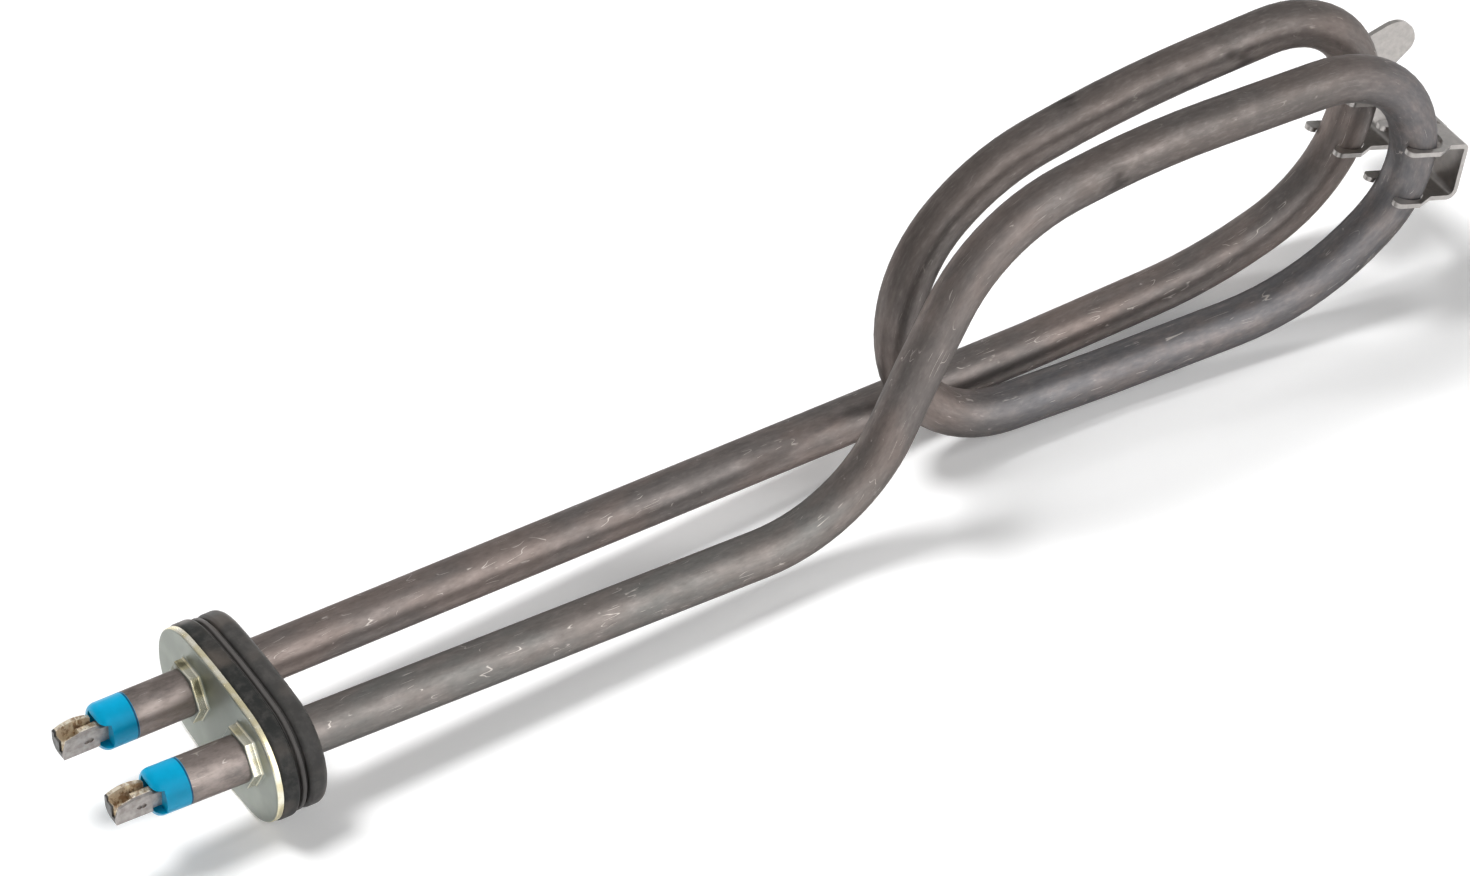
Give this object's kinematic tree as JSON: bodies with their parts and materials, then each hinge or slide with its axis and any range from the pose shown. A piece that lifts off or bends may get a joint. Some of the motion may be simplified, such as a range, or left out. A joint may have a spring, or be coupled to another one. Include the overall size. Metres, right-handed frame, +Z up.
{
  "type": "tubular heating element",
  "caption": "Immersion heating element: one sheathed tube bent to a flat coil with long legs, an oval rubber-sealed flange, two terminals and a tip bracket.",
  "frame": {"origin": "on the flange plate's outer face, midway between the axes of the two legs", "axes": "+X along the straight legs from the flange to the loops, +Y from the front leg to the rear leg, +Z up, the side to which the loops rise above the legs"},
  "size_m": [0.287, 0.0448, 0.0726],
  "materials": {
    "sheath": "satin, warm grey-brown from heating",
    "powder": "pressed powder",
    "coil": "drawn wire",
    "pin": "drawn",
    "stopper": "satin moulded",
    "tab": "bright, heat tinted inside",
    "zinc_plate": "zinc plated, greenish grey, yellowish on the necks and the rim",
    "seal": "satin moulded rubber",
    "stainless": "bright rolled sheet"
  },
  "bodies": {
    "root": {"sheath_tube": "sheath", "insulation_fill": "powder", "heating_coil": "coil", "rear_terminal_pin": "pin", "front_terminal_pin": "pin", "rear_end_stopper": "stopper", "front_end_stopper": "stopper", "rear_terminal_tab": "tab", "front_terminal_tab": "tab", "flange_plate": "zinc_plate", "rubber_seal": "seal", "clamp_plate": "stainless", "tip_bracket": "stainless"}
  },
  "joints": []
}
